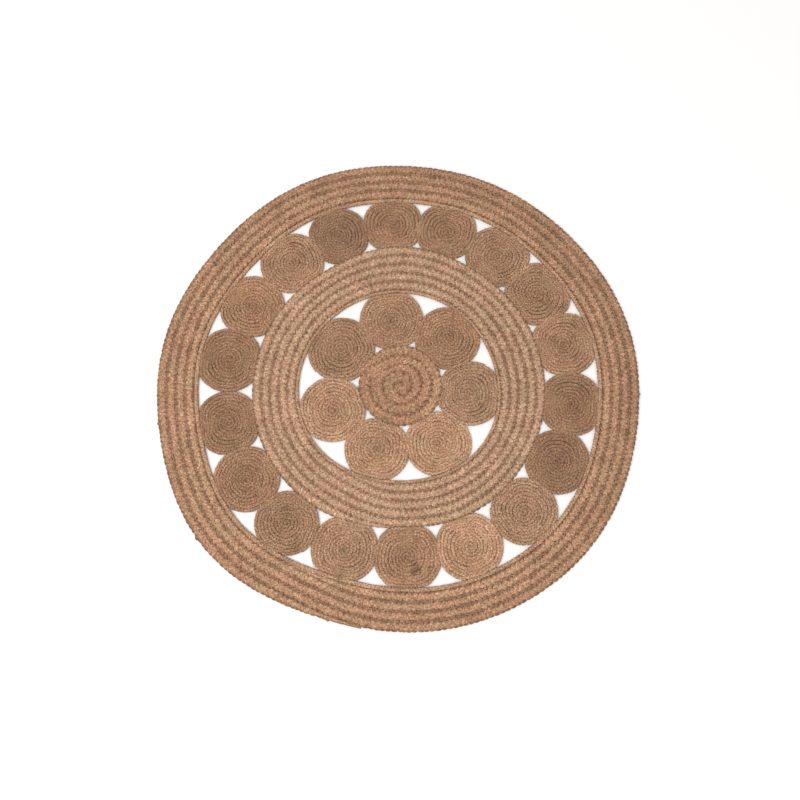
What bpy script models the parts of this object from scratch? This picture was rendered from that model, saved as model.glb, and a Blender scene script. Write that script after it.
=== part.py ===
"""Round jute area rug: coiled discs sewn between two wound braid rings.

Seven small discs sit round a larger centre disc, a ring of five braid turns
holds them, eighteen more discs sit round that ring, and a ring of four braid
turns closes the rug.  Lengths are in metres and angles in degrees, counted
anticlockwise from +X.  The underside lies on z = 0.
"""
import math

import bmesh
import bpy

# Driving dimensions
RUG_DIAMETER = 1.200
RUG_THICKNESS = 0.010
CENTRE_DISC_DIAMETER = 0.206
INNER_RING_BRAID_WIDTH = 0.0218
OUTER_RING_BRAID_WIDTH = 0.0230
INNER_EDGE_ROW_WIDTH = 0.0085
OUTER_EDGE_ROW_WIDTH = 0.0110
EDGE_ROUNDING = 0.0030
THREAD_DIAMETER = 0.0020
SEWN_GAP = 0.0003
SEWN_PRESS = 0.0060

# The most of a narrow braid's width that one of its rounded edges takes
ROUNDED_SHARE = 0.46

INNER_RING_TURNS = 5
OUTER_RING_TURNS = 4

# The room between the rings is shared by the two rows of discs: this is the
# inner row's part of it.
INNER_ROOM_SHARE = 0.512
CENTRE_DISC_OFFSET = (0.005, 0.002)

# Where each ring's braid steps out by one turn, and how far along it does so
STEP_ANGLE = 236.0
STEP_SAMPLES = 4

# Slow waves of the hand-sewn outlines: lobes round the rug, height, direction
RUG_WAVES = ((3, 0.0042, 86.0),)
OUTER_RING_WAVES = ((4, 0.0035, 34.0), (5, 0.0021, 14.0), (6, 0.0014, 45.0), (7, 0.0025, 15.0))
OUTER_RING_BORE_WAVES = ((1, 0.0023, 270.0), (2, 0.0016, 159.0))
INNER_RING_RIM_WAVES = ((1, 0.0036, 69.0), (2, 0.0016, 31.0), (5, 0.0024, 15.0), (7, 0.0014, 39.0))
INNER_RING_BORE_WAVES = ((2, 0.0029, 172.0), (4, 0.0011, 49.0))

# One entry a disc, going clockwise from the far side of the rug: how far the
# disc was sewn off its even place in degrees, and by how much its radius is
# more than half the way to its neighbours, which sewing has pressed flat.
INNER_DISC_START = 95.8
INNER_DISCS = (
    (0.0, 0.0053), (0.9, 0.0066), (1.0, 0.0068), (2.3, 0.0064),
    (1.9, 0.0043), (1.5, 0.0047), (-0.7, 0.0078),
)
OUTER_DISC_START = 91.9
OUTER_DISCS = (
    (0.0, 0.0080), (1.6, 0.0070), (1.7, 0.0100), (2.5, 0.0130), (2.8, 0.0080), (2.0, 0.0050),
    (1.8, 0.0050), (2.2, 0.0050), (1.2, 0.0040), (1.1, 0.0060), (0.4, 0.0040), (-0.1, 0.0030),
    (0.5, 0.0070), (0.7, 0.0030), (-1.0, 0.0050), (-1.2, 0.0060), (-2.1, 0.0080), (-0.9, 0.0070),
)

# How finely the round shapes are cut
OUTER_RING_SAMPLES = 48
INNER_RING_SAMPLES = 40
DISC_SAMPLES = 30
CENTRE_DISC_SAMPLES = 48
REACH_HALVINGS = 30


def clear_scene():
    for old in list(bpy.data.objects):
        bpy.data.objects.remove(old, do_unlink=True)


def waves(angle, *groups):
    """Height of the outline's slow waves at an angle in radians."""
    height = 0.0
    for group in groups:
        for lobes, crest, direction in group:
            height += crest * math.cos(lobes * (angle - math.radians(direction)))
    return height


def outer_ring_rim(angle):
    return RUG_DIAMETER / 2 + waves(angle, RUG_WAVES, OUTER_RING_WAVES)


def outer_ring_bore(angle):
    radius = RUG_DIAMETER / 2 - outer_ring_width()
    return radius + waves(angle, RUG_WAVES, OUTER_RING_WAVES, OUTER_RING_BORE_WAVES)


def outer_ring_width():
    return OUTER_EDGE_ROW_WIDTH + OUTER_RING_TURNS * OUTER_RING_BRAID_WIDTH


def inner_ring_width():
    return INNER_EDGE_ROW_WIDTH + INNER_RING_TURNS * INNER_RING_BRAID_WIDTH


def inner_ring_bore_radius():
    """Mean radius of the inner ring's bore, past the inner row's share of room."""
    centre = CENTRE_DISC_DIAMETER / 2
    room = RUG_DIAMETER / 2 - centre - outer_ring_width() - inner_ring_width()
    return centre + room * INNER_ROOM_SHARE


def inner_ring_bore(angle):
    return inner_ring_bore_radius() + waves(angle, RUG_WAVES, INNER_RING_BORE_WAVES)


def inner_ring_rim(angle):
    radius = inner_ring_bore_radius() + inner_ring_width()
    return radius + waves(angle, RUG_WAVES, INNER_RING_RIM_WAVES)


def facet_radius(edge, angle, samples):
    """Radius of the straight facet that joins an edge's samples at an angle."""
    first = math.radians(STEP_ANGLE)
    step = 2 * math.pi / samples
    start = first + math.floor((angle - first) / step) * step
    near = edge(start)
    far = edge(start + step)
    share = near * math.sin(angle - start) + far * math.sin(start + step - angle)
    return near * far * math.sin(step) / share


def smooth_step(share):
    share = min(max(share, 0.0), 1.0)
    return share * share * (3 - 2 * share)


def lane(sample, samples):
    """Turns wound so far at a sample: whole between steps, rising along them."""
    if sample < 0:
        return 0.0
    turn, place = divmod(sample, samples)
    return turn + smooth_step(place / STEP_SAMPLES)


def point_at(radius, angle, height):
    return (radius * math.cos(angle), radius * math.sin(angle), height)


def make_material(name, colour):
    material = bpy.data.materials.new(name)
    material.use_nodes = True
    shader = material.node_tree.nodes["Principled BSDF"]
    shader.inputs["Base Color"].default_value = (*colour, 1.0)
    shader.inputs["Roughness"].default_value = 0.9
    shader.inputs["Metallic"].default_value = 0.0
    return material


def add_object(name, data, colour, rug, holder):
    piece = bpy.data.objects.new(name, data)
    rug.objects.link(piece)
    piece.parent = holder
    data.materials.append(make_material(name, colour))
    return piece


def section(inner, outer, angle):
    """Flat oval section of a braid lying on the floor; a narrow end is thinner."""
    inner += SEWN_GAP / 2
    outer -= SEWN_GAP / 2
    round_off = min(EDGE_ROUNDING, ROUNDED_SHARE * (outer - inner))
    top = RUG_THICKNESS - EDGE_ROUNDING + round_off
    corners = (
        (inner + round_off, 0.0), (outer - round_off, 0.0), (outer, round_off),
        (outer, top - round_off), (outer - round_off, top), (inner + round_off, top),
        (inner, top - round_off), (inner, round_off),
    )
    return [point_at(radius, angle, height) for radius, height in corners]


def loft(name, sections, closed, colour, rug, holder):
    """Skin a run of sections, closed into a loop or capped at both ends."""
    shape = bmesh.new()
    rows = [[shape.verts.new(point) for point in row] for row in sections]
    count = len(rows[0])
    last = len(rows) if closed else len(rows) - 1
    for index in range(last):
        here = rows[index]
        there = rows[(index + 1) % len(rows)]
        for side in range(count):
            after = (side + 1) % count
            shape.faces.new((here[side], here[after], there[after], there[side]))
    if not closed:
        shape.faces.new(rows[0])
        shape.faces.new(rows[-1])
    bmesh.ops.recalc_face_normals(shape, faces=shape.faces)
    mesh = bpy.data.meshes.new(name)
    shape.to_mesh(mesh)
    shape.free()
    mesh.shade_smooth()
    mesh.set_sharp_from_angle(angle=math.radians(30))
    return add_object(name, mesh, colour, rug, holder)


def make_edge_row(name, bore, width, samples, colour, rug, holder):
    """The thin braid that lines a ring's bore, where the discs are sewn on."""
    sections = []
    for sample in range(samples):
        angle = math.radians(STEP_ANGLE) + 2 * math.pi * sample / samples
        sections.append(section(bore(angle), bore(angle) + width, angle))
    loft(name, sections, True, colour, rug, holder)


def braid_edges(sample, samples, turns, bore, rim, row_width):
    """Inner and outer radius of a ring's braid at a sample, and its angle."""
    angle = math.radians(STEP_ANGLE) + 2 * math.pi * sample / samples
    start = bore(angle) + row_width
    pitch = (rim(angle) - start) / turns
    inner = start + pitch * lane(sample - samples, samples)
    outer = start + pitch * min(lane(sample, samples), turns)
    return inner, outer, angle


def make_ring_braid(name, ring, colour, rug, holder):
    """One braid wound round turn by turn, its two ends tapered to nothing."""
    samples, turns = ring[:2]
    first = 1
    last = turns * samples + STEP_SAMPLES - 1
    sections = []
    for sample in range(first, last + 1):
        sections.append(section(*braid_edges(sample, *ring)))
    loft(name, sections, False, colour, rug, holder)


def make_sewing_thread(name, ring, colour, rug, holder):
    """The thread along the groove beside each turn, above the rounded edges."""
    samples, turns = ring[:2]
    groove_floor = RUG_THICKNESS - EDGE_ROUNDING - SEWN_GAP / 2
    height = groove_floor + (THREAD_DIAMETER / 2 + SEWN_GAP) * math.sqrt(2)
    points = []
    for sample in range(STEP_SAMPLES - 1, turns * samples + 2):
        inner, _, angle = braid_edges(sample, *ring)
        points.append(point_at(inner, angle, height))
    curve = bpy.data.curves.new(name, "CURVE")
    curve.dimensions = "3D"
    curve.bevel_depth = THREAD_DIAMETER / 2
    curve.bevel_resolution = 0
    curve.use_fill_caps = True
    run = curve.splines.new("POLY")
    run.points.add(len(points) - 1)
    for spot, point in zip(run.points, points):
        spot.co = (*point, 1.0)
    add_object(name, curve, colour, rug, holder)


def row_places(start, discs, inner_edge, outer_edge):
    """Centre of each disc of a row, half way between the edges it is sewn to."""
    places = []
    for index, (lean, _) in enumerate(discs):
        angle = math.radians(start - 360.0 * index / len(discs) + lean)
        radius = (inner_edge(angle) + outer_edge(angle)) / 2
        places.append((radius * math.cos(angle), radius * math.sin(angle)))
    return places


def row_radii(places, discs, inner_edge, outer_edge):
    """Wound radius of each disc: half way to its neighbours, and its press.

    A disc is wound large enough to be pressed against the edges beside it too.
    """
    radii = []
    for index, (_, press) in enumerate(discs):
        before = math.dist(places[index], places[index - 1])
        after = math.dist(places[index], places[(index + 1) % len(places)])
        angle = math.atan2(places[index][1], places[index][0])
        half_room = (outer_edge(angle) - inner_edge(angle)) / 2
        radii.append(max((before + after) / 4 + press, half_room + SEWN_PRESS))
    return radii


def clear_of_neighbour(point, here, radius, there, other_radius):
    """Whether a point is on a disc's own side of the seam with a neighbour."""
    own = math.dist(point, here) ** 2 - radius ** 2
    other = math.dist(point, there) ** 2 - other_radius ** 2
    return (other - own) / (2 * math.dist(here, there)) > SEWN_GAP / 2


def reach(centre, direction, radius, allowed):
    """How far a disc runs one way before its own edge or a seam stops it."""
    low = 0.0
    high = radius
    for _ in range(REACH_HALVINGS):
        middle = (low + high) / 2
        spot = (centre[0] + middle * math.cos(direction), centre[1] + middle * math.sin(direction))
        if allowed(spot):
            low = middle
        else:
            high = middle
    return low


def make_disc(name, centre, radius, allowed, samples, colour, rug, holder):
    """A coiled disc: a drum pressed flat where it is sewn to what is beside it."""
    shape = bmesh.new()
    bmesh.ops.create_cone(
        shape, cap_ends=True, segments=samples, radius1=radius, radius2=radius, depth=RUG_THICKNESS
    )
    for corner in shape.verts:
        direction = math.atan2(corner.co.y, corner.co.x)
        run = reach(centre, direction, radius, allowed)
        corner.co.x = run * math.cos(direction)
        corner.co.y = run * math.sin(direction)
    mesh = bpy.data.meshes.new(name)
    shape.to_mesh(mesh)
    shape.free()
    piece = add_object(name, mesh, colour, rug, holder)
    piece.location = (*centre, RUG_THICKNESS / 2)
    rounding = piece.modifiers.new("rounded_edge", "BEVEL")
    rounding.width = EDGE_ROUNDING
    rounding.segments = 1
    rounding.limit_method = "ANGLE"
    rounding.angle_limit = math.radians(60)
    mesh.shade_smooth()
    mesh.set_sharp_from_angle(angle=math.radians(30))


def make_disc_row(label, start, discs, inner_edge, outer_edge, samples, colours, rug, holder):
    """A row of discs, each sewn to its two neighbours and to the edges beside it."""
    places = row_places(start, discs, inner_edge, outer_edge)
    radii = row_radii(places, discs, inner_edge, outer_edge)
    count = len(discs)
    for index in range(count):
        here = places[index]
        radius = radii[index]
        facet = 2 * math.pi * radius / DISC_SAMPLES
        sides = [index - 1, (index + 1) % count]

        def allowed(point):
            angle = math.atan2(point[1], point[0])
            far = math.hypot(*point)
            if far > facet_radius(outer_edge, angle, samples) - SEWN_GAP / 2:
                return False
            edge = inner_edge(angle)
            facet_dip = facet ** 2 / (8 * edge)
            if far < edge + SEWN_GAP + facet_dip:
                return False
            return all(
                clear_of_neighbour(point, here, radius, places[side], radii[side])
                for side in sides
            )

        colour = colours[index % len(colours)]
        name = f"{label}_disc_{index + 1:02d}"
        make_disc(name, here, radius, allowed, DISC_SAMPLES, colour, rug, holder)


def centre_disc_edge(angle):
    """Distance from the rug's middle to the centre disc's edge."""
    across, along = CENTRE_DISC_OFFSET
    forward = across * math.cos(angle) + along * math.sin(angle)
    sideways = across * math.sin(angle) - along * math.cos(angle)
    return forward + math.sqrt((CENTRE_DISC_DIAMETER / 2) ** 2 - sideways ** 2)


def add_holder():
    """An empty that puts the middle of the rug's outline over the origin."""
    rim = []
    for sample in range(OUTER_RING_SAMPLES):
        angle = math.radians(STEP_ANGLE) + 2 * math.pi * sample / OUTER_RING_SAMPLES
        rim.append(point_at(outer_ring_rim(angle) - SEWN_GAP / 2, angle, 0.0))
    across = [point[0] for point in rim]
    along = [point[1] for point in rim]
    holder = bpy.data.objects.new("rug_middle", None)
    holder.location = (-(max(across) + min(across)) / 2, -(max(along) + min(along)) / 2, 0.0)
    bpy.context.scene.collection.objects.link(holder)
    return holder


clear_scene()
rug = bpy.data.collections.new("braided_disc_rug")
bpy.context.scene.collection.children.link(rug)
holder = add_holder()

jute_tan = (0.52, 0.31, 0.17)
jute_brown = (0.38, 0.21, 0.11)
jute_olive = (0.42, 0.28, 0.14)
thread_brown = (0.26, 0.15, 0.08)
disc_colours = (jute_brown, jute_olive, jute_tan)

make_disc(
    "centre_disc", CENTRE_DISC_OFFSET, CENTRE_DISC_DIAMETER / 2, lambda point: True,
    CENTRE_DISC_SAMPLES, jute_tan, rug, holder,
)
make_disc_row(
    "inner", INNER_DISC_START, INNER_DISCS, centre_disc_edge, inner_ring_bore,
    INNER_RING_SAMPLES, disc_colours, rug, holder,
)
make_disc_row(
    "outer", OUTER_DISC_START, OUTER_DISCS, inner_ring_rim, outer_ring_bore,
    OUTER_RING_SAMPLES, disc_colours, rug, holder,
)

inner_ring = (
    INNER_RING_SAMPLES, INNER_RING_TURNS, inner_ring_bore, inner_ring_rim, INNER_EDGE_ROW_WIDTH,
)
outer_ring = (
    OUTER_RING_SAMPLES, OUTER_RING_TURNS, outer_ring_bore, outer_ring_rim, OUTER_EDGE_ROW_WIDTH,
)
for label, ring in (("inner", inner_ring), ("outer", outer_ring)):
    samples, _, bore, _, row_width = ring
    make_edge_row(f"{label}_ring_edge_row", bore, row_width, samples, jute_brown, rug, holder)
    make_ring_braid(f"{label}_ring_braid", ring, jute_tan, rug, holder)
    make_sewing_thread(f"{label}_ring_sewing_thread", ring, thread_brown, rug, holder)
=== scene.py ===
import math
import random

import bpy
import numpy as np
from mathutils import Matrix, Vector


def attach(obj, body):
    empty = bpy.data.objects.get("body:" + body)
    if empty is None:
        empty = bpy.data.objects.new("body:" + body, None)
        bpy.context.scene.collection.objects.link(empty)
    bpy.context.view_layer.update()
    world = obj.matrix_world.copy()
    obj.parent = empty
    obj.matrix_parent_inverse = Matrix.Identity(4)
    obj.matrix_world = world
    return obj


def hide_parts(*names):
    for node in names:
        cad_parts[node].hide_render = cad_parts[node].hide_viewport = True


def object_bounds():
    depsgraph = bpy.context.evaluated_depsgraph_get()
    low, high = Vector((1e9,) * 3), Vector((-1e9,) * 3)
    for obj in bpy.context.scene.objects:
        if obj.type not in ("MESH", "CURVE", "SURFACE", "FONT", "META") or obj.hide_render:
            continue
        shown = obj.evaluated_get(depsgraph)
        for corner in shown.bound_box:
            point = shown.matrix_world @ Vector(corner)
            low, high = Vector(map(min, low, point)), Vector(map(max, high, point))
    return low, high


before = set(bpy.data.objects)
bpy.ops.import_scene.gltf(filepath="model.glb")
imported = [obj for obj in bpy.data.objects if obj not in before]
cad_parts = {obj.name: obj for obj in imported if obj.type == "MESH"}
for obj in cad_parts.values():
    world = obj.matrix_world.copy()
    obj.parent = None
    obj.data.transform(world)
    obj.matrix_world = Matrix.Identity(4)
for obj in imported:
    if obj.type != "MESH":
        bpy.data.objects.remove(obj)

cad_box = [list(corner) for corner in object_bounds()]

# ---------------------------------------------------------------------------------------------
# Centre disc. A wide, flat, three-strand jute plait wound into a coil from the middle out. Each
# turn is sewn to the turn inside it, and the tail narrows and is tucked along the rim.
# ---------------------------------------------------------------------------------------------

# Lengths are in metres. A pitch is the distance from turn to turn, a cycle is one repeat of the
# plait, a twist is one turn of a yarn's fibres, and a step is the spacing of points along it.
RUG_THICKNESS = cad_box[1][2] - cad_box[0][2]
JUTE = (0.400, 0.236, 0.143)
TONE_STEP = 0.09
WIDE_PITCH = 0.0236
WIDE_CYCLE = 0.039
WIDE_YARN_WIDTH = 0.0050
WIDE_YARN_HEIGHT = 0.0046
WIDE_YARN_SPACING = 0.0035
WIDE_YARN_TWIST = 0.012
WIDE_STEP = 0.0027
CENTRE_DISC_STEP = 0.0020


def add(tree, kind, sockets=None, **settings):
    """A node with its settings made and its inputs filled or linked."""
    node = tree.nodes.new(kind)
    for name, value in settings.items():
        setattr(node, name, value)
    for name, value in (sockets or {}).items():
        if isinstance(value, bpy.types.NodeSocket):
            tree.links.new(value, node.inputs[name])
        else:
            node.inputs[name].default_value = value
    return node


def sum_of(tree, operation, *values):
    """The result of one Math node; each value is a number or a socket."""
    return add(tree, "ShaderNodeMath", dict(enumerate(values)), operation=operation).outputs[0]


def vector_of(tree, operation, sockets):
    return add(tree, "ShaderNodeVectorMath", sockets, operation=operation).outputs["Vector"]


def mapped(tree, value, given, wanted, kind="LINEAR"):
    """A value's share of the given range, carried over to the wanted range."""
    return add(tree, "ShaderNodeMapRange",
               {"Value": value, "From Min": given[0], "From Max": given[1],
                "To Min": wanted[0], "To Max": wanted[1]}, interpolation_type=kind).outputs[0]


def kept_on(tree, geometry, items):
    """Values worked out here and kept on the points for later nodes."""
    node = tree.nodes.new("GeometryNodeCaptureAttribute")
    for label, kind, value in items:
        node.capture_items.new(kind, label)
        tree.links.new(value, node.inputs[label])
    tree.links.new(geometry, node.inputs["Geometry"])
    return node.outputs


def new_tree(name, inputs):
    """An empty Geometry Nodes tree with named inputs, and its input sockets."""
    tree = bpy.data.node_groups.new(name, "GeometryNodeTree")
    tree.interface.new_socket("Geometry", in_out="INPUT", socket_type="NodeSocketGeometry")
    tree.interface.new_socket("Geometry", in_out="OUTPUT", socket_type="NodeSocketGeometry")
    for label, kind in inputs:
        tree.interface.new_socket(label, in_out="INPUT", socket_type="NodeSocket" + kind)
    return tree, tree.nodes.new("NodeGroupInput").outputs


def close_tree(tree, geometry, material):
    """Smooth faces, real copies and the material, at the end of every tree."""
    smooth = add(tree, "GeometryNodeSetShadeSmooth", {"Geometry": geometry})
    real = add(tree, "GeometryNodeRealizeInstances", {"Geometry": smooth.outputs[0]})
    coloured = add(tree, "GeometryNodeSetMaterial",
                   {"Geometry": real.outputs[0], "Material": material})
    add(tree, "NodeGroupOutput", {"Geometry": coloured.outputs[0]})


# Finenesses are the scales of noise patterns, in repeats per metre. A slub is a thicker or
# thinner stretch of yarn, and the codes tell the strands and their yarns apart.
PULL_FINENESS = 30.0
UNEVEN_FINENESS = 45.0
SLUBS_PER_METRE = 55.0
SLUB_RANGE = (0.25, 0.75)
SLUB_GIRTH = (0.84, 1.16)
STRAND_CODE = 7.0
YARN_CODE = 3.0


def plait_tree():
    """Strands that cross over and under each other along a path of edges, a third of a cycle
    apart.

    In one cycle a strand swings once from side to side, and twice up and down. The path gives
    half_width and fullness at each point. Each yarn keeps a code of its own, and how far it is
    from the plait's middle, for the jute material.
    """
    tree, given = new_tree("jute plait", (
        ("Strands", "Int"), ("First strand", "Int"), ("Cycles", "Float"),
        ("Side reach", "Float"), ("Up reach", "Float"), ("Yarns", "Int"),
        ("Yarn spacing", "Float"), ("Yarn width", "Float"), ("Yarn height", "Float"),
        ("Yarn sides", "Int"), ("Step", "Float"), ("Pull", "Float"), ("Unevenness", "Float"),
        ("Edge drop", "Float"), ("Seed", "Int"), ("Material", "Material")))
    curve = add(tree, "GeometryNodeMeshToCurve", {"Mesh": given["Geometry"]})
    even = add(tree, "GeometryNodeResampleCurve",
               {"Curve": curve.outputs[0], "Length": given["Step"]}, mode="LENGTH")
    spline = tree.nodes.new("GeometryNodeSplineParameter").outputs
    tangent = tree.nodes.new("GeometryNodeInputTangent").outputs[0]
    where = tree.nodes.new("GeometryNodeInputPosition").outputs[0]
    across = vector_of(tree, "CROSS_PRODUCT", {0: tangent, 1: (0.0, 0.0, 1.0)})
    side = vector_of(tree, "NORMALIZE", {0: across})
    path = kept_on(tree, even.outputs[0], (
        ("Share", "FLOAT", spline["Factor"]), ("Along", "FLOAT", spline["Length"]),
        ("Side", "VECTOR", side), ("Place", "VECTOR", where)))

    strands = add(tree, "GeometryNodeDuplicateElements",
                  {"Geometry": path["Geometry"], "Amount": given["Strands"]}, domain="SPLINE")
    number = sum_of(tree, "ADD", strands.outputs["Duplicate Index"], given["First strand"])
    cycles = sum_of(tree, "MULTIPLY", path["Share"], given["Cycles"])
    pull = add(tree, "ShaderNodeTexNoise",
               {"Vector": path["Place"], "W": given["Seed"], "Scale": PULL_FINENESS,
                "Detail": 1.0}, noise_dimensions="4D").outputs[0]
    cycles = sum_of(tree, "ADD", cycles, sum_of(tree, "MULTIPLY", pull, given["Pull"]))
    cycles = sum_of(tree, "ADD", cycles, sum_of(tree, "DIVIDE", number, 3.0))
    angle = sum_of(tree, "MULTIPLY", cycles, math.tau)
    half_width = add(tree, "GeometryNodeInputNamedAttribute", {"Name": "half_width"}).outputs[0]
    fullness = add(tree, "GeometryNodeInputNamedAttribute", {"Name": "fullness"}).outputs[0]
    reach = sum_of(tree, "MULTIPLY", half_width, given["Side reach"])
    swing = sum_of(tree, "MULTIPLY", sum_of(tree, "SINE", angle), reach)
    rise = sum_of(tree, "SINE", sum_of(tree, "MULTIPLY", angle, 2.0))
    rise = sum_of(tree, "MULTIPLY", rise, given["Up reach"])
    lean = sum_of(tree, "POWER", sum_of(tree, "SINE", angle), 2.0)
    rise = sum_of(tree, "SUBTRACT", rise, sum_of(tree, "MULTIPLY", lean, given["Edge drop"]))
    rise = sum_of(tree, "MULTIPLY", rise, sum_of(tree, "MINIMUM", fullness, 1.0))
    drift = add(tree, "ShaderNodeTexNoise",
                {"Vector": path["Place"], "W": sum_of(tree, "ADD", number, given["Seed"]),
                 "Scale": UNEVEN_FINENESS, "Detail": 1.0},
                noise_dimensions="4D").outputs["Color"]
    drift = vector_of(tree, "SUBTRACT", {0: drift, 1: (0.5, 0.5, 0.5)})
    offset = vector_of(tree, "SCALE", {0: path["Side"], "Scale": swing})
    offset = vector_of(tree, "ADD",
                       {0: offset, 1: add(tree, "ShaderNodeCombineXYZ", {"Z": rise}).outputs[0]})
    offset = vector_of(tree, "ADD",
                       {0: offset, 1: vector_of(tree, "SCALE",
                                                {0: drift, "Scale": given["Unevenness"]})})
    plaited = add(tree, "GeometryNodeSetPosition",
                  {"Geometry": strands.outputs["Geometry"], "Offset": offset})

    yarns = add(tree, "GeometryNodeDuplicateElements",
                {"Geometry": plaited.outputs[0], "Amount": given["Yarns"]}, domain="SPLINE")
    rank = yarns.outputs["Duplicate Index"]
    half_count = sum_of(tree, "MULTIPLY", sum_of(tree, "SUBTRACT", given["Yarns"], 1.0), 0.5)
    apart = sum_of(tree, "MULTIPLY", sum_of(tree, "SUBTRACT", rank, half_count),
                   given["Yarn spacing"])
    apart = sum_of(tree, "MULTIPLY", apart, fullness)
    beside = add(tree, "GeometryNodeSetPosition",
                 {"Geometry": yarns.outputs["Geometry"],
                  "Offset": vector_of(tree, "SCALE", {0: side, "Scale": apart})})
    code = sum_of(tree, "ADD", sum_of(tree, "MULTIPLY", number, STRAND_CODE),
                  sum_of(tree, "MULTIPLY", rank, YARN_CODE))
    off_middle = sum_of(tree, "ABSOLUTE", sum_of(tree, "ADD", swing, apart))
    edge = sum_of(tree, "DIVIDE", off_middle, half_width)
    coded = kept_on(tree, beside.outputs[0], (("Code", "FLOAT", code), ("Edge", "FLOAT", edge)))
    slubs = add(tree, "ShaderNodeCombineXYZ",
                {"X": sum_of(tree, "MULTIPLY", path["Along"], SLUBS_PER_METRE),
                 "Y": coded["Code"]})
    slubs = add(tree, "ShaderNodeTexNoise",
                {"Vector": slubs.outputs[0], "Scale": 1.0, "Detail": 2.0}).outputs[0]
    radius = sum_of(tree, "MULTIPLY", mapped(tree, slubs, SLUB_RANGE, SLUB_GIRTH), fullness)
    sized = add(tree, "GeometryNodeSetCurveRadius",
                {"Curve": coded["Geometry"], "Radius": radius})
    upright = add(tree, "GeometryNodeSetCurveNormal", {"Curve": sized.outputs[0]}, mode="Z_UP")

    ring = add(tree, "GeometryNodeCurvePrimitiveCircle",
               {"Resolution": given["Yarn sides"], "Radius": 1.0}, mode="RADIUS")
    ring = kept_on(tree, ring.outputs["Curve"], (("Around", "VECTOR", where),))
    size = add(tree, "ShaderNodeCombineXYZ",
               {"X": sum_of(tree, "MULTIPLY", given["Yarn width"], 0.5),
                "Y": sum_of(tree, "MULTIPLY", given["Yarn height"], 0.5), "Z": 1.0})
    flat = add(tree, "GeometryNodeTransform",
               {"Geometry": ring["Geometry"], "Scale": size.outputs[0]})
    mesh = add(tree, "GeometryNodeCurveToMesh",
               {"Curve": upright.outputs[0], "Profile Curve": flat.outputs[0],
                "Fill Caps": True}).outputs[0]
    for name, kind, value in (("around", "FLOAT_VECTOR", ring["Around"]),
                              ("along", "FLOAT", path["Along"]),
                              ("edge", "FLOAT", coded["Edge"]),
                              ("yarn", "FLOAT", coded["Code"])):
        mesh = add(tree, "GeometryNodeStoreNamedAttribute",
                   {"Geometry": mesh, "Name": name, "Value": value},
                   data_type=kind, domain="POINT").outputs[0]
    close_tree(tree, mesh, given["Material"])
    return tree


# Each pattern in the jute has a fineness or a stretch, the range of it that is read, and the
# shades that the two ends of that range give. A shade multiplies the colour.
NOISE_RANGE = (0.3, 0.7)
FIBRE_FINENESS = 3.4
FIBRE_STRETCH = 42.0
FIBRE_SHIFT = 5.3
FIBRE_SHADES = (0.70, 1.30)
FIBRE_RELIEF = 0.0007
FIBRE_ROUGHNESS = (0.95, 0.78)
LENGTH_STRETCH = 38.0
LENGTH_SHIFT = 4.1
LENGTH_SHADES = (0.82, 1.18)
FLECK_FINENESS = 260.0
FLECK_RANGE = (0.33, 0.67)
FLECK_SHADES = (0.60, 1.40)
PATCH_FINENESS = 17.0
PATCH_SHADES = (0.92, 1.08)
# Painted shade: the two below darken jute the lower it lies in the rug, down in the joints and at
# the sides, and lighten it a little at the top.
PAINTED_SHADE_HEIGHTS = (0.0040, 0.0085)
PAINTED_DEPTH_SHADES = (0.80, 1.03)
# Painted shade in the grooves: the four below darken each yarn towards the edges of its plait,
# where turns meet, along a wavering border, and put a painted highlight along its middle.
PAINTED_GROOVE_FINENESS = 40.0
PAINTED_GROOVE_SHIFT = (-0.25, 0.2)
PAINTED_GROOVE_RANGE = (0.3, 1.05)
PAINTED_CROWN_HIGHLIGHT = 1.05
# Painted light: the span over which a ring is painted lighter towards the lamp's corner and darker
# at the far one.
PAINTED_LIGHT_RANGE = (-0.85, 0.85)
STAIN_CORE = 0.4
STAIN_FINENESS = 90.0
STAIN_SHIFT = (-0.01, 0.01)
HUE_FINENESS = 24.0
HUE_RANGE = (0.36, 0.62)
WARM_GREEN = 0.985
WARM_BLUE = 0.97
GOLDEN = (0.99, 1.01, 0.95)
GREEN_DEEPENS = 1.18
BLUE_DEEPENS = 1.34


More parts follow.
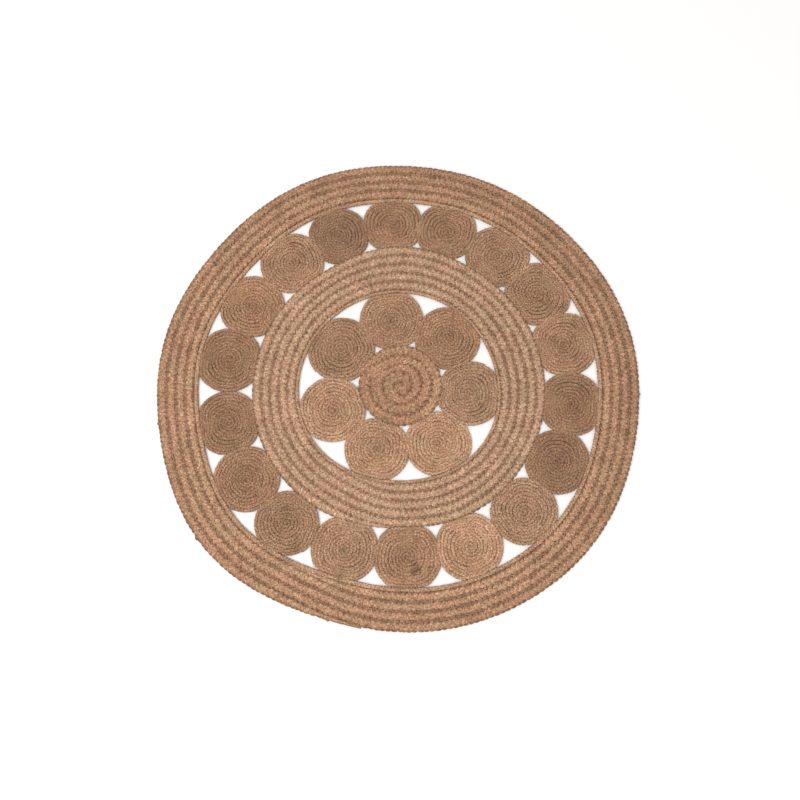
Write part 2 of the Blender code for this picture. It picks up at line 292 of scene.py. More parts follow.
def jute(name, colour, twist, red=0.04, painted_groove_shade=0.7, middle=1.0, rim=1.0, painted_lamp_light=0.0, stain=None):
    """Undyed jute: twisted fibres, tone that changes from yarn to yarn and in patches, and flecks
    of husk, with painted shade: darker the lower it lies in the rug and towards the edges of
    each plait where turns meet, with a painted highlight along the yarn middles. Middle and rim
    shade a coil from its middle out. The corner-to-corner setting paints light on a ring,
    lighter towards the lamp's corner and darker at the far one. A stain is a dull patch with a
    centre, a radius and a shade."""
    material = bpy.data.materials.new(name)
    material.use_nodes = True
    tree = material.node_tree
    shader = tree.nodes["Principled BSDF"]
    around = add(tree, "ShaderNodeAttribute", attribute_name="around").outputs["Vector"]
    along = add(tree, "ShaderNodeAttribute", attribute_name="along").outputs["Fac"]
    yarn = add(tree, "ShaderNodeAttribute", attribute_name="yarn").outputs["Fac"]
    edge = add(tree, "ShaderNodeAttribute", attribute_name="edge").outputs["Fac"]
    outward = add(tree, "ShaderNodeAttribute", attribute_name="outward").outputs["Fac"]
    place = tree.nodes.new("ShaderNodeTexCoord").outputs["Object"]

    def noise(vector, fineness, detail=1.0, **sockets):
        return add(tree, "ShaderNodeTexNoise",
                   {"Vector": vector, "Scale": fineness, "Detail": detail, **sockets},
                   noise_dimensions="4D" if "W" in sockets else "3D").outputs[0]

    def shaded(light, share):
        return sum_of(tree, "MULTIPLY", light, share)

    turned = add(tree, "ShaderNodeVectorRotate",
                 {"Vector": around, "Angle": sum_of(tree, "MULTIPLY", along, math.tau / twist)},
                 rotation_type="Z_AXIS").outputs[0]
    lengthways = add(tree, "ShaderNodeCombineXYZ",
                     {"Z": sum_of(tree, "MULTIPLY", along, FIBRE_STRETCH)})
    fibre = noise(vector_of(tree, "ADD", {0: turned, 1: lengthways.outputs[0]}),
                  FIBRE_FINENESS, 3.0, W=sum_of(tree, "MULTIPLY", yarn, FIBRE_SHIFT),
                  Roughness=0.65)
    change = add(tree, "ShaderNodeCombineXYZ",
                 {"X": sum_of(tree, "MULTIPLY", along, LENGTH_STRETCH),
                  "Y": sum_of(tree, "MULTIPLY", yarn, LENGTH_SHIFT)}).outputs[0]
    flecks = noise(place, FLECK_FINENESS, 2.0)
    patches = noise(place, PATCH_FINENESS)
    light = mapped(tree, fibre, NOISE_RANGE, FIBRE_SHADES)
    light = shaded(light, mapped(tree, noise(change, 1.0), NOISE_RANGE, LENGTH_SHADES))
    light = shaded(light, mapped(tree, flecks, FLECK_RANGE, FLECK_SHADES))
    light = shaded(light, mapped(tree, patches, NOISE_RANGE, PATCH_SHADES))
    light = shaded(light, mapped(tree, outward, (0.0, 1.0), (middle, rim)))
    x, y, z = add(tree, "ShaderNodeSeparateXYZ", {"Vector": place}).outputs[:3]
    # Painted shade: the lower the jute lies in the rug, the darker it is painted.
    light = shaded(light, mapped(tree, z, PAINTED_SHADE_HEIGHTS, PAINTED_DEPTH_SHADES))
    # Painted shade in the grooves at the plait's edges, and a painted highlight along its middle.
    edge = sum_of(tree, "ADD", edge, mapped(tree, noise(place, PAINTED_GROOVE_FINENESS, 2.0),
                                            NOISE_RANGE, PAINTED_GROOVE_SHIFT))
    light = shaded(light, mapped(tree, edge, PAINTED_GROOVE_RANGE, (PAINTED_CROWN_HIGHLIGHT, painted_groove_shade),
                                 "SMOOTHSTEP"))
    # Painted light: the ring is lighter at the corner towards the lamp and darker at the far
    # corner.
    if painted_lamp_light:
        corner_to_corner = sum_of(tree, "ADD", x, y)
        light = shaded(light, mapped(tree, corner_to_corner, PAINTED_LIGHT_RANGE, (1.0 + painted_lamp_light, 1.0 - painted_lamp_light)))
    if stain:
        centre, radius, depth = stain
        from_centre = vector_of(tree, "SUBTRACT", {0: place, 1: (*centre, 0.0)})
        parts = add(tree, "ShaderNodeSeparateXYZ", {"Vector": from_centre}).outputs[:2]
        squares = [sum_of(tree, "POWER", part, 2.0) for part in parts]
        far = sum_of(tree, "SQRT", sum_of(tree, "ADD", *squares))
        far = sum_of(tree, "ADD", far, mapped(tree, noise(place, STAIN_FINENESS, 2.0),
                                              NOISE_RANGE, STAIN_SHIFT))
        light = shaded(light, mapped(tree, far, (radius * STAIN_CORE, radius), (depth, 1.0)))

    warmer = (1.0 + red, WARM_GREEN, WARM_BLUE)
    warm = tuple(part * change for part, change in zip(colour, warmer))
    gold = tuple(part * change for part, change in zip(colour, GOLDEN))
    hue = add(tree, "ShaderNodeMix", {"Factor": mapped(tree, noise(place, HUE_FINENESS, 2.0),
                                                       HUE_RANGE, (0.0, 1.0))},
              data_type="RGBA")
    for socket in hue.inputs:
        if socket.type == "RGBA":
            socket.default_value = (*(gold if socket.name == "A" else warm), 1.0)
    coloured = next(socket for socket in hue.outputs if socket.type == "RGBA")
    shade = add(tree, "ShaderNodeCombineXYZ",
                {"X": light, "Y": sum_of(tree, "POWER", light, GREEN_DEEPENS),
                 "Z": sum_of(tree, "POWER", light, BLUE_DEEPENS)}).outputs[0]
    tree.links.new(vector_of(tree, "MULTIPLY", {0: coloured, 1: shade}),
                   shader.inputs["Base Color"])
    raised = add(tree, "ShaderNodeBump",
                 {"Height": fibre, "Strength": 0.9, "Distance": FIBRE_RELIEF})
    tree.links.new(raised.outputs[0], shader.inputs["Normal"])
    rough = mapped(tree, fibre, NOISE_RANGE, FIBRE_ROUGHNESS)
    tree.links.new(rough, shader.inputs["Roughness"])
    shader.inputs["Specular IOR Level"].default_value = 0.25
    shader.inputs["Sheen Weight"].default_value = 0.1
    shader.inputs["Sheen Roughness"].default_value = 0.6
    return material


def tone(shade, warmth=0.0):
    """The jute colour, some steps lighter or darker, and warmer or cooler."""
    light = 1.0 + TONE_STEP * shade
    return (JUTE[0] * light * (1 + warmth), JUTE[1] * light, JUTE[2] * light * (1 - warmth))


def path_mesh(name, points, closed=False, **values):
    """Edges along a run of points, with a value for each point under each name."""
    mesh = bpy.data.meshes.new(name)
    edges = [(i, i + 1) for i in range(len(points) - 1)]
    if closed:
        edges.append((len(points) - 1, 0))
    mesh.from_pydata([tuple(point) for point in points], edges, [])
    for label, numbers in values.items():
        data = mesh.attributes.new(label, "FLOAT", "POINT").data
        data.foreach_set("value", np.broadcast_to(numbers, len(points)).astype(np.float32))
    return mesh


def made_by(tree, name, mesh, settings):
    """The plain mesh that a tree makes from a starting mesh, as an object of that name."""
    piece = bpy.data.objects.new(name, mesh)
    bpy.context.scene.collection.objects.link(piece)
    modifier = piece.modifiers.new(tree.name, "NODES")
    modifier.node_group = tree
    for socket in tree.interface.items_tree:
        if socket.name in settings:
            modifier[socket.identifier] = settings[socket.name]
    depsgraph = bpy.context.evaluated_depsgraph_get()
    result = bpy.data.meshes.new_from_object(
        piece.evaluated_get(depsgraph), preserve_all_data_layers=True, depsgraph=depsgraph)
    piece.modifiers.clear()
    piece.data = result
    result.name = name
    return piece


def smooth_step(share):
    """A share from 0 to 1, eased at both ends."""
    share = np.clip(share, 0.0, 1.0)
    return share * share * (3.0 - 2.0 * share)


def run_length(points):
    return float(np.sqrt((np.diff(points, axis=0) ** 2).sum(1)).sum())


WALL_SHARE = 0.25


def outline_of(node):
    """The middle of a disc, and its edge radius as a function of the angle round it. The edge
    is read from the corners near half height, where the wall is upright."""
    corners = np.array([v.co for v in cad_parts[node].data.vertices])
    middle = (corners.min(0) + corners.max(0))[:2] / 2
    level = np.abs(corners[:, 2] - RUG_THICKNESS / 2) < RUG_THICKNESS * WALL_SHARE
    wall = np.unique(np.round(corners[level][:, :2], 6), axis=0) - middle
    angles = np.arctan2(wall[:, 1], wall[:, 0])
    order = np.argsort(angles)
    angles, radii = angles[order], np.hypot(*wall[order].T)
    return middle, lambda angle: np.interp(angle, angles, radii, period=math.tau)


# Turns are counted from the middle. The spiral and follow values are shares of the way out, and
# the wobble rates are in radians per turn.
EDGE_MARKS = np.linspace(0, math.tau, 120, endpoint=False)
PATH_STEP = 0.0009
FIRST_TURN = 0.05
STEP_OVER_SHARE = 0.12
TAIL_SHARE = 0.8
SPIRAL_SHARE = 0.5
SPIRAL_FADE = 0.3
FOLLOW_FROM = 0.25
FOLLOW_OVER = 0.6
HAND_WOBBLE = 0.09
WOBBLE_RATES = (8.6, 14.9)
THINNEST_COIL = 0.35
FULLEST_COIL = 1.2


def coil_path(name, middle, edge, pitch, start, hand):
    """A coil from the middle out, and its length. Inner turns spiral, outer turns follow the
    disc's edge and step over at one place, and the tail narrows against the rim."""
    mean = float(edge(EDGE_MARKS).mean())
    turns = round(mean / pitch)
    count = int(math.pi * mean * turns / PATH_STEP)
    last_turn = turns + STEP_OVER_SHARE * TAIL_SHARE
    turn = np.sqrt(np.linspace(FIRST_TURN ** 2, last_turn ** 2, count))
    angle = start + hand * math.tau * turn

    def edge_at(turn):
        stepped = np.floor(turn) - 1 + smooth_step((turn - np.floor(turn)) / STEP_OVER_SHARE)
        outward = smooth_step((turn - turns * SPIRAL_SHARE) / (turns * SPIRAL_FADE))
        lane = (1 - outward) * (turn - 0.5) + outward * stepped
        slow, quick = WOBBLE_RATES
        uneven = np.sin(slow * turn + start) + np.sin(quick * turn + 2 * start)
        lane = lane + HAND_WOBBLE * uneven * smooth_step(turns - turn)
        lane = np.clip(lane, -0.5, turns) / turns
        follow = smooth_step((lane - FOLLOW_FROM) / FOLLOW_OVER)
        return lane * ((1 - follow) * mean + follow * edge(angle))

    inner, outer = edge_at(turn), edge_at(turn + 1)
    radius, half_width = (inner + outer) / 2, (outer - inner) / 2
    points = np.stack((middle[0] + radius * np.cos(angle), middle[1] + radius * np.sin(angle),
                       np.full(count, RUG_THICKNESS / 2)), 1)
    nominal = mean / turns / 2
    fullness = np.clip(half_width / nominal, THINNEST_COIL, FULLEST_COIL)
    mesh = path_mesh(name, points, half_width=half_width, outward=radius / mean,
                     fullness=fullness)
    return mesh, run_length(points)


plait = plait_tree()

centre_jute = jute("centre_disc_jute", tone(0.8, 0.02), WIDE_YARN_TWIST, red=0.06, painted_groove_shade=0.84,
                   middle=0.88, rim=0.93)
centre_middle, centre_edge = outline_of("centre_disc")
centre_path, centre_length = coil_path(
    "centre_disc_coil", centre_middle, centre_edge, WIDE_PITCH, start=2.2, hand=1)
WIDE_PLAIT = {
    "Side reach": 0.62, "Up reach": (RUG_THICKNESS - WIDE_YARN_HEIGHT) / 2, "Yarns": 3,
    "Yarn spacing": WIDE_YARN_SPACING, "Yarn width": WIDE_YARN_WIDTH,
    "Yarn height": WIDE_YARN_HEIGHT, "Yarn sides": 5, "Step": WIDE_STEP, "Pull": 0.5,
    "Unevenness": 0.0022, "Edge drop": 0.0010}
centre_coil = made_by(plait, "centre_disc_coil", centre_path, {
    **WIDE_PLAIT, "Strands": 3, "First strand": 0, "Cycles": centre_length / WIDE_CYCLE,
    "Side reach": 0.68, "Step": CENTRE_DISC_STEP, "Edge drop": 0.0002,
    "Seed": 1, "Material": centre_jute})
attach(centre_coil, "root")
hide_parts("centre_disc")

# ---------------------------------------------------------------------------------------------
# Inner discs. Seven coils of a thin, tight, three-strand jute plait, sewn round the centre disc
# and to each other. Each is wound from its own length, so the tone changes from disc to disc.
# ---------------------------------------------------------------------------------------------

THIN_PITCH = 0.0078
THIN_CYCLE = 0.0210
THIN_STRAND_WIDTH = 0.0058
THIN_STRAND_HEIGHT = 0.0050
THIN_STRAND_TWIST = 0.011
THIN_STEP = 0.0023
THIN_PLAIT = {
    "Strands": 3, "First strand": 0, "Side reach": 0.5,
    "Up reach": (RUG_THICKNESS - THIN_STRAND_HEIGHT) / 2, "Yarns": 1, "Yarn spacing": 0.0,
    "Yarn width": THIN_STRAND_WIDTH, "Yarn height": THIN_STRAND_HEIGHT, "Yarn sides": 5,
    "Step": THIN_STEP, "Pull": 0.6, "Unevenness": 0.0026, "Edge drop": 0.0004}
INNER_DISCS = (("olive", 0.2), ("brown", -0.5), ("tan", 0.6), ("tan", 3.2), ("tan", 2.5),
               ("tan", 2.8), ("olive", -0.5))
FAMILY_WARMTH = {"tan": -0.01, "olive": 0.02, "brown": 0.045}


def coiled_disc(node, family, shade, seed, hand, stain=None):
    """One disc of thin plait, in place of the plain CAD solid of the same name. Hand is 1 or
    -1, for the way that it is wound."""
    chance = random.Random(seed)
    middle, edge = outline_of(node)
    path, length = coil_path(node + "_coil", middle, edge, THIN_PITCH,
                             chance.uniform(0, math.tau), hand)
    material = jute(node + "_jute", tone(shade, FAMILY_WARMTH[family]), THIN_STRAND_TWIST,
                    painted_groove_shade=0.54, middle=0.81, rim=0.95, stain=stain)
    piece = made_by(plait, node + "_coil", path, {
        **THIN_PLAIT, "Cycles": length / THIN_CYCLE, "Seed": seed, "Material": material})
    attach(piece, "root")
    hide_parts(node)


for number, (family, shade) in enumerate(INNER_DISCS, 1):
    coiled_disc(f"inner_disc_{number:02d}", family, shade, seed=10 + number,
                hand=1 if number % 3 else -1)

# ---------------------------------------------------------------------------------------------
# Inner ring. A thin plait lines its inner edge, where the discs are sewn on. Round that, one
# long, wide, flat plait is wound five times and sewn to itself, turn to turn.
# ---------------------------------------------------------------------------------------------

# A ring's CAD solids have one row of corners at each of its samples round the rug, counted from
# the angle where the turns step over. The start, the tail and the step-over count in samples.
RING_MIDDLE = np.array((0.0008, -0.0037))
STEP_OVER_ANGLE = math.radians(236.0)
STEP_OVER_SAMPLES = 4
INNER_RING_SAMPLES = 40
INNER_RING_TURNS = 5
EDGE_ROW_POINTS = 2400
EDGE_ROW_REACH = 0.54
EDGE_STRAND_SHARE = 0.56
PLAIT_POINTS_PER_TURN = 800
PLAIT_START = 0.4
TAIL_END = 3.4
THINNEST_TAIL = 0.3
FULLEST_TURN = 1.15


def ring_edge(node, samples, pick):
    """The inner (min) or outer (max) radius of a ring's CAD solid, by the angle."""
    corners = np.array([v.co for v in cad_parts[node].data.vertices])[:, :2] - RING_MIDDLE
    turned = (np.arctan2(corners[:, 1], corners[:, 0]) - STEP_OVER_ANGLE) / math.tau
    places = np.round(turned * samples).astype(int) % samples
    radii = np.hypot(*corners.T)
    found = [pick(radii[places == place]) for place in range(samples)]
    marks = np.arange(samples) / samples * math.tau
    return lambda angle: np.interp(angle - STEP_OVER_ANGLE, marks, found, period=math.tau)


def ring_points(angle, radius, height):
    """Points round the rings' middle, one for each angle."""
    return np.stack((RING_MIDDLE[0] + radius * np.cos(angle),
                     RING_MIDDLE[1] + radius * np.sin(angle),
                     np.broadcast_to(height, angle.shape)), 1)


def edge_row(name, node, samples, material, seed):
    """A thin plait that closes on itself, in place of the CAD edge row."""
    angle = np.linspace(0, math.tau, EDGE_ROW_POINTS, endpoint=False)
    inner = ring_edge(node, samples, min)(angle)
    outer = ring_edge(node, samples, max)(angle)
    width = float((outer - inner).mean())
    points = ring_points(angle, (inner + outer) / 2, RUG_THICKNESS / 2)
    path = path_mesh(name, points, closed=True, half_width=(outer - inner) / 2, fullness=1.0,
                     outward=0.0)
    piece = made_by(plait, name, path, {
        **THIN_PLAIT, "Cycles": float(round(run_length(points) / THIN_CYCLE)),
        "Side reach": EDGE_ROW_REACH, "Yarn width": width * EDGE_STRAND_SHARE, "Yarn sides": 6,
        "Seed": seed, "Material": material})
    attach(piece, "root")
    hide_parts(node)


def ring_lane(place, samples):
    """How many turns out the plait lies: each turn steps over at its start."""
    turn = np.floor(place)
    stepped = turn + smooth_step((place - turn) * samples / STEP_OVER_SAMPLES)
    return np.where(place < 0, 0.0, stepped)


def wound_ring(name, row_node, braid_node, samples, turns, material, seed):
    """The wide flat plait of a ring, one piece for each of its three strands."""
    start = ring_edge(row_node, samples, max)
    rim = ring_edge(braid_node, samples, max)
    place = np.linspace(PLAIT_START / samples, turns + TAIL_END / samples,
                        PLAIT_POINTS_PER_TURN * turns)
    angle = STEP_OVER_ANGLE + math.tau * place
    low, pitch = start(angle), (rim(angle) - start(angle)) / turns
    inner = low + pitch * ring_lane(place - 1, samples)
    outer = low + pitch * np.minimum(ring_lane(place, samples), turns)
    points = ring_points(angle, (inner + outer) / 2, RUG_THICKNESS / 2)
    half_width = (outer - inner) / 2
    fullness = np.clip(half_width / (pitch.mean() / 2), THINNEST_TAIL, FULLEST_TURN)
    for strand, letter in enumerate("abc"):
        path = path_mesh(name, points, half_width=half_width, outward=place / turns,
                         fullness=fullness)
        piece = made_by(plait, f"{name}_strand_{letter}", path, {
            **WIDE_PLAIT, "Strands": 1, "First strand": strand,
            "Cycles": run_length(points) / WIDE_CYCLE, "Seed": seed, "Material": material})
        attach(piece, "root")
        if strand == 0:
            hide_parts(braid_node)


edge_row("inner_ring_edge_plait", "inner_ring_edge_row", INNER_RING_SAMPLES,
         jute("inner_edge_jute", tone(1.0), THIN_STRAND_TWIST), seed=31)
wound_ring("inner_ring", "inner_ring_edge_row", "inner_ring_braid", INNER_RING_SAMPLES,
           INNER_RING_TURNS,
           jute("inner_ring_jute", tone(2.6, -0.05), WIDE_YARN_TWIST, red=0.05, painted_groove_shade=0.66,
                painted_lamp_light=0.06), seed=32)

# ---------------------------------------------------------------------------------------------
# Outer discs. Eighteen more coils of the thin plait, sewn in a row between the two rings. Where
# a disc meets a neighbour or a ring, its outer turns are pressed flat.
# ---------------------------------------------------------------------------------------------

OUTER_DISCS = (
    ("brown", -1.3), ("brown", -1.1), ("olive", -0.5), ("olive", -0.4), ("olive", 0.2),
    ("brown", -1.7), ("brown", -2.5), ("tan", 1.2), ("tan", 3.9), ("olive", 0.4), ("tan", 1.3),
    ("olive", -0.8), ("brown", -0.9), ("brown", -1.9), ("brown", -1.8), ("brown", -0.1),
    ("olive", 0.3), ("brown", -2.8))
DULL_PATCH_DISC = 10
DULL_PATCH_CENTRE = (0.040, -0.455)
DULL_PATCH_RADIUS = 0.019
DULL_PATCH_SHADE = 0.58
DULL_PATCH = (DULL_PATCH_CENTRE, DULL_PATCH_RADIUS, DULL_PATCH_SHADE)

for number, (family, shade) in enumerate(OUTER_DISCS, 1):
    coiled_disc(f"outer_disc_{number:02d}", family, shade, seed=50 + number,
                hand=1 if number % 4 else -1,
                stain=DULL_PATCH if number == DULL_PATCH_DISC else None)

# ---------------------------------------------------------------------------------------------
# Outer ring. Made as the inner ring is: a thin plait along its inner edge, then the wide flat
# plait wound four times, with its tail tapered and tucked along the rim.
# ---------------------------------------------------------------------------------------------

OUTER_RING_SAMPLES = 48
OUTER_RING_TURNS = 4

edge_row("outer_ring_edge_plait", "outer_ring_edge_row", OUTER_RING_SAMPLES,
         jute("outer_edge_jute", tone(1.0), THIN_STRAND_TWIST), seed=81)
wound_ring("outer_ring", "outer_ring_edge_row", "outer_ring_braid", OUTER_RING_SAMPLES,
           OUTER_RING_TURNS,
           jute("outer_ring_jute", tone(0.9, 0.01), WIDE_YARN_TWIST, red=0.06, painted_groove_shade=0.60,
                middle=1.04, rim=0.90, painted_lamp_light=0.07), seed=82)

# ---------------------------------------------------------------------------------------------
# Ring sewing. Jute twine laced in and out along the joint between each two turns of a ring,
# pulled down below the crowns of the plait.
# ---------------------------------------------------------------------------------------------

TWINE = 0.0029
TWINE_TWIST = 0.005
LACING_STITCH = 0.013
LACING_HALF_WIDTH = 0.0017
LACING_RISE = 0.0018
LACING_STEP = 0.0027
LACING_HEIGHT = RUG_THICKNESS * 0.62
LACING_POINTS_PER_TURN = 1000


def joint_lacing(node, row_node, braid_node, samples, turns, seed):
    """Two ends of twine that cross along every joint of one ring, in place of the CAD thread."""
    start = ring_edge(row_node, samples, max)
    rim = ring_edge(braid_node, samples, max)
    place = np.linspace(1 + 0.5 / samples, turns, LACING_POINTS_PER_TURN * turns)
    angle = STEP_OVER_ANGLE + math.tau * place
    pitch = (rim(angle) - start(angle)) / turns
    points = ring_points(angle, start(angle) + pitch * ring_lane(place - 1, samples),
                         LACING_HEIGHT)
    path = path_mesh(node, points, half_width=LACING_HALF_WIDTH, fullness=1.0, outward=0.0)
    piece = made_by(plait, node + "_twine", path, {
        "Strands": 2, "First strand": 0, "Cycles": run_length(points) / LACING_STITCH,
        "Side reach": 1.0, "Up reach": LACING_RISE, "Yarns": 1, "Yarn spacing": 0.0,
        "Yarn width": TWINE, "Yarn height": TWINE, "Yarn sides": 4, "Step": LACING_STEP,
        "Pull": 0.6, "Unevenness": 0.0016, "Edge drop": 0.0, "Seed": seed,
        "Material": jute(node + "_twine", tone(-0.6), TWINE_TWIST, painted_groove_shade=0.8)})
    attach(piece, "root")
    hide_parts(node)


joint_lacing("inner_ring_sewing_thread", "inner_ring_edge_row", "inner_ring_braid",
             INNER_RING_SAMPLES, INNER_RING_TURNS, seed=91)
joint_lacing("outer_ring_sewing_thread", "outer_ring_edge_row", "outer_ring_braid",
             OUTER_RING_SAMPLES, OUTER_RING_TURNS, seed=92)

# ---------------------------------------------------------------------------------------------
# Seam stitches. Short whip stitches of jute twine that hold each disc to its neighbours and to
# the plaits beside it, over the flat where they are pressed together.
# ---------------------------------------------------------------------------------------------

STITCH_LENGTH = 0.0105
STITCH_THICKNESS = 0.0017
STITCH_TWIST = 0.004
STITCH_DEPTH = 0.0007
STITCH_SCATTER = 0.0015
STITCHES_PER_SEAM = 6
SEAM_HALF_LENGTH = 0.017
NEIGHBOURS_WITHIN = 0.215


def bent_twine_tree():
    """One arched length of twine at each point, laid along the point's own way, then turned and
    shortened at random."""
    tree, given = new_tree("bent twine", (
        ("Length", "Float"), ("Rise", "Float"), ("Sink", "Float"), ("Thickness", "Float"),
        ("Bends", "Int"), ("Sides", "Int"), ("Turn", "Float"), ("Shortest", "Float"),
        ("Seed", "Int"), ("Material", "Material")))
    where = tree.nodes.new("GeometryNodeInputPosition").outputs[0]
    half = sum_of(tree, "MULTIPLY", given["Length"], 0.5)
    low = sum_of(tree, "MULTIPLY", given["Sink"], -1.0)
    back = add(tree, "ShaderNodeCombineXYZ",
               {"X": sum_of(tree, "MULTIPLY", half, -1.0), "Z": low}).outputs[0]
    front = add(tree, "ShaderNodeCombineXYZ", {"X": half, "Z": low}).outputs[0]
    crown = add(tree, "ShaderNodeCombineXYZ", {"Z": given["Rise"]}).outputs[0]
    arch = add(tree, "GeometryNodeCurveQuadraticBezier",
               {"Resolution": given["Bends"], "Start": back, "Middle": crown, "End": front})
    length = tree.nodes.new("GeometryNodeSplineParameter").outputs["Length"]
    arch = kept_on(tree, arch.outputs[0], (("Along", "FLOAT", length),))
    ring = add(tree, "GeometryNodeCurvePrimitiveCircle",
               {"Resolution": given["Sides"], "Radius": 1.0}, mode="RADIUS")
    ring = kept_on(tree, ring.outputs["Curve"], (("Around", "VECTOR", where),))
    radius = sum_of(tree, "MULTIPLY", given["Thickness"], 0.5)
    size = add(tree, "ShaderNodeCombineXYZ", {"X": radius, "Y": radius, "Z": 1.0})
    ring_sized = add(tree, "GeometryNodeTransform",
                     {"Geometry": ring["Geometry"], "Scale": size.outputs[0]})
    mesh = add(tree, "GeometryNodeCurveToMesh",
               {"Curve": arch["Geometry"], "Profile Curve": ring_sized.outputs[0],
                "Fill Caps": True}).outputs[0]
    for name, kind, value in (("around", "FLOAT_VECTOR", ring["Around"]),
                              ("along", "FLOAT", arch["Along"])):
        mesh = add(tree, "GeometryNodeStoreNamedAttribute",
                   {"Geometry": mesh, "Name": name, "Value": value},
                   data_type=kind, domain="POINT").outputs[0]
    points = add(tree, "GeometryNodeMeshToPoints", {"Mesh": given["Geometry"]})
    way = add(tree, "GeometryNodeInputNamedAttribute", {"Name": "way"},
              data_type="FLOAT_VECTOR").outputs[0]
    laid = add(tree, "FunctionNodeAlignRotationToVector", {"Vector": way}, axis="X",
               pivot_axis="Z").outputs[0]
    most = sum_of(tree, "MULTIPLY", given["Turn"], -1.0)
    slant = add(tree, "FunctionNodeRandomValue",
                {"Min": most, "Max": given["Turn"], "Seed": given["Seed"]}, data_type="FLOAT")
    slant = next(socket for socket in slant.outputs if socket.type == "VALUE")
    slant = add(tree, "ShaderNodeCombineXYZ", {"Z": slant}).outputs[0]
    turned = add(tree, "FunctionNodeRotateRotation",
                 {"Rotation": laid, "Rotate By": slant}).outputs[0]
    spread = add(tree, "FunctionNodeRandomValue",
                 {"Min": given["Shortest"], "Max": 1.0,
                  "Seed": sum_of(tree, "ADD", given["Seed"], 1.0)}, data_type="FLOAT")
    spread = next(socket for socket in spread.outputs if socket.type == "VALUE")
    spread = add(tree, "ShaderNodeCombineXYZ", {"X": spread, "Y": 1.0, "Z": spread}).outputs[0]
    placed = add(tree, "GeometryNodeInstanceOnPoints",
                 {"Points": points.outputs[0], "Instance": mesh, "Rotation": turned,
                  "Scale": spread})
    close_tree(tree, placed.outputs[0], given["Material"])
    return tree


def placed_twine(name, spots, ways, settings, slot):
    """Bent lengths of twine at a list of spots, as one piece."""
    start = path_mesh(name, spots)
    start.attributes.new("way", "FLOAT_VECTOR", "POINT").data.foreach_set(
        "vector", np.array(ways, np.float32).ravel())
    piece = made_by(bent_twine, name, start, settings)
    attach(piece, "root")


def seam_points():
    """Where the stitches go and which way each crosses its seam."""
    chance = random.Random(7)
    middles = {node: outline_of(node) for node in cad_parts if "disc" in node}
    spots, ways = [], []
    for node, (middle, edge) in sorted(middles.items()):
        targets = [other for name, (other, _) in middles.items()
                   if name > node and np.hypot(*(other - middle)) < NEIGHBOURS_WITHIN]
        out = (middle - RING_MIDDLE) / np.hypot(*(middle - RING_MIDDLE))
        if node != "centre_disc":
            targets.append(middle + out)
        if node.startswith("outer"):
            targets.append(middle - out)
        for target in targets:
            way = (target - middle) / np.hypot(*(target - middle))
            angle = math.atan2(way[1], way[0])
            seam = middle + way * float(edge(angle))
            for share in np.linspace(-1, 1, STITCHES_PER_SEAM):
                shift = (share * SEAM_HALF_LENGTH
                         + chance.uniform(-STITCH_SCATTER, STITCH_SCATTER))
                spot = seam + shift * np.array((-way[1], way[0]))
                spots.append((*spot, RUG_THICKNESS - STITCH_DEPTH))
                ways.append((*way, 0.0))
    return spots, ways


bent_twine = bent_twine_tree()
placed_twine("seam_stitches", *seam_points(), {
    "Length": STITCH_LENGTH, "Rise": 0.0036, "Sink": 0.0030, "Thickness": STITCH_THICKNESS,
    "Bends": 6, "Sides": 5, "Turn": 0.45, "Shortest": 0.75, "Seed": 5,
    "Material": jute("seam_twine", tone(-1.0), STITCH_TWIST)}, "sewing_thread")

# ---------------------------------------------------------------------------------------------
# Knots. Where a length of plait or twine ends it is knotted off. Small hard knots of jute twine
# sit at the rim, at the outer ring's tail, in the middle of the centre disc and beside one of
# the outer discs.
# ---------------------------------------------------------------------------------------------

KNOT_TWINE = 0.0026
KNOT_TWIST = 0.004
KNOT_INSET = 0.0012
KNOT_DEPTH = 0.0040
KNOT_RISE = 0.0016
KNOT_STEP = 0.0007
KNOT_POINTS = 24
KNOT_FATNESS = 0.45
# The angle in degrees, the size and the shade of each knot at the rim.
RIM_KNOTS = ((218.0, 0.0056, -4.0), (189.2, 0.0042, -1.5), (358.0, 0.0038, -1.5),
             (253.7, 0.0048, -1.0))
# The place, the size and the shade of the other two.
DISC_KNOT = (-0.0856, 0.4914, 0.0044, 1.0)
CENTRE_KNOT = (*centre_middle, 0.0050, 0.5)

rug_rim = ring_edge("outer_ring_braid", OUTER_RING_SAMPLES, max)
knots = [DISC_KNOT, CENTRE_KNOT]
for degrees, size, shade in RIM_KNOTS:
    spot = math.radians(degrees)
    x, y, _ = ring_points(np.array([spot]), rug_rim(spot) - KNOT_INSET, 0.0)[0]
    knots.append((x, y, size, shade))

for number, (x, y, size, shade) in enumerate(knots, 1):
    turn = np.linspace(0, math.tau, KNOT_POINTS, endpoint=False)
    loop = np.stack((x + size / 2 * np.cos(turn), y + size / 2 * np.sin(turn),
                     np.full(turn.shape, RUG_THICKNESS - KNOT_DEPTH)), 1)
    knot_path = path_mesh(f"knot_{number}", loop, closed=True, half_width=size * KNOT_FATNESS,
                          fullness=1.0, outward=0.0)
    knot = made_by(plait, f"knot_{number}", knot_path, {
        "Strands": 3, "First strand": 0, "Cycles": 2.0, "Side reach": 0.9,
        "Up reach": KNOT_RISE, "Yarns": 1, "Yarn spacing": 0.0, "Yarn width": KNOT_TWINE,
        "Yarn height": KNOT_TWINE, "Yarn sides": 7, "Step": KNOT_STEP, "Pull": 0.3,
        "Unevenness": 0.0012, "Edge drop": 0.0, "Seed": 200 + number,
        "Material": jute(f"knot_{number}_twine", tone(shade), KNOT_TWIST, painted_groove_shade=0.85)})
    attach(knot, "root")

# ---------------------------------------------------------------------------------------------
# Loose fibres. Jute sheds: short stiff hairs work out of every plait and lie across its turns,
# spread evenly over the discs and the rings.
# ---------------------------------------------------------------------------------------------

FIBRES_PER_SQUARE_METRE = 4400
FIBRE_LENGTH = 0.013
FIBRE_THICKNESS = 0.00042
FIBRE_TWIST = 0.02
FIBRE_DEPTHS = (0.0006, 0.0022)
TURN_MARKS = np.linspace(0, math.tau, 90, endpoint=False)


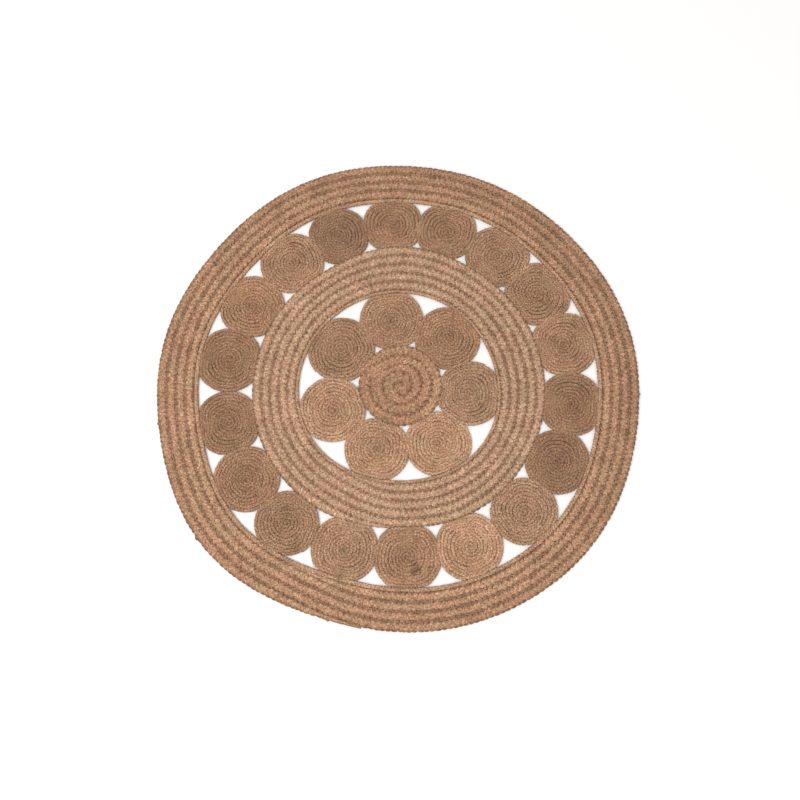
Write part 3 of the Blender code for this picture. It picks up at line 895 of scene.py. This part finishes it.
def fibre_points():
    """Spots spread over the discs and rings at random, with the way the plait runs there."""
    chance = random.Random(19)
    spots, ways = [], []

    def scatter(middle, inner, outer):
        area = math.pi * float((outer(TURN_MARKS) ** 2 - inner(TURN_MARKS) ** 2).mean())
        for _ in range(round(area * FIBRES_PER_SQUARE_METRE)):
            angle = chance.uniform(0, math.tau)
            low, high = float(inner(angle)), float(outer(angle))
            radius = math.sqrt(chance.uniform(low ** 2, high ** 2))
            spots.append((middle[0] + radius * math.cos(angle),
                          middle[1] + radius * math.sin(angle),
                          RUG_THICKNESS - chance.uniform(*FIBRE_DEPTHS)))
            ways.append((-math.sin(angle), math.cos(angle), 0.0))

    for node in sorted(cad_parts):
        if "disc" in node:
            middle, edge = outline_of(node)
            scatter(middle, lambda angle: np.zeros_like(angle), edge)
    for ring, samples in (("inner_ring", INNER_RING_SAMPLES), ("outer_ring", OUTER_RING_SAMPLES)):
        scatter(RING_MIDDLE, ring_edge(ring + "_edge_row", samples, min),
                ring_edge(ring + "_braid", samples, max))
    return spots, ways


placed_twine("loose_fibres", *fibre_points(), {
    "Length": FIBRE_LENGTH, "Rise": 0.0030, "Sink": 0.0004, "Thickness": FIBRE_THICKNESS,
    "Bends": 3, "Sides": 3, "Turn": 1.3, "Shortest": 0.35, "Seed": 8,
    "Material": jute("loose_fibre", tone(2.0), FIBRE_TWIST)}, "ring_jute")

# ---------------------------------------------------------------------------------------------
# Studio. The rug lies on a plain white floor. Soft light comes from all round, and from one
# large round lamp overhead and to the left. The camera looks steeply down from the front.
# ---------------------------------------------------------------------------------------------

FLOOR_HALF = 12.0
FLOOR_HEIGHT = -0.0003
FLOOR_COLOUR = (0.93, 0.92, 0.905, 1.0)
ROOM_LIGHT = 0.78
LAMP_SIZE = 3.6
LAMP_POWER = 170.0
LAMP_PLACE = (-2.0, -1.8, 5.0)
CAMERA_LENS = 44.06
CAMERA_PLACE = (0.0044, -0.6417, 2.3508)
CAMERA_ELEVATION = 75.586

floor_mesh = bpy.data.meshes.new("studio_floor")
floor_mesh.from_pydata([(x * FLOOR_HALF, y * FLOOR_HALF, FLOOR_HEIGHT) for x, y in
                        ((-1, -1), (1, -1), (1, 1), (-1, 1))], [], [(0, 1, 2, 3)])
floor = bpy.data.objects.new("studio_floor", floor_mesh)
bpy.context.scene.collection.objects.link(floor)
floor_paint = bpy.data.materials.new("studio_floor")
floor_paint.use_nodes = True
floor_shader = floor_paint.node_tree.nodes["Principled BSDF"]
floor_shader.inputs["Base Color"].default_value = FLOOR_COLOUR
floor_shader.inputs["Roughness"].default_value = 0.9
floor_shader.inputs["Specular IOR Level"].default_value = 0.1
floor_mesh.materials.append(floor_paint)

world = bpy.data.worlds.new("studio")
world.use_nodes = True
world.node_tree.nodes["Background"].inputs["Color"].default_value = (1.0, 1.0, 1.0, 1.0)
world.node_tree.nodes["Background"].inputs["Strength"].default_value = ROOM_LIGHT
bpy.context.scene.world = world

lamp_data = bpy.data.lights.new("overhead_lamp", "AREA")
lamp_data.shape = "DISK"
lamp_data.size = LAMP_SIZE
lamp_data.energy = LAMP_POWER
lamp = bpy.data.objects.new("overhead_lamp", lamp_data)
bpy.context.scene.collection.objects.link(lamp)
lamp.location = LAMP_PLACE
lamp.rotation_euler = (-lamp.location).to_track_quat("-Z", "Y").to_euler()

camera_data = bpy.data.cameras.new("camera")
camera_data.lens = CAMERA_LENS
camera_data.sensor_width = 36.0
camera_data.dof.use_dof = False
camera = bpy.data.objects.new("camera", camera_data)
bpy.context.scene.collection.objects.link(camera)
camera.location = CAMERA_PLACE
camera.rotation_euler = (math.radians(90.0 - CAMERA_ELEVATION), 0.0, 0.0)
bpy.context.scene.camera = camera
bpy.context.scene.view_settings.view_transform = "Standard"
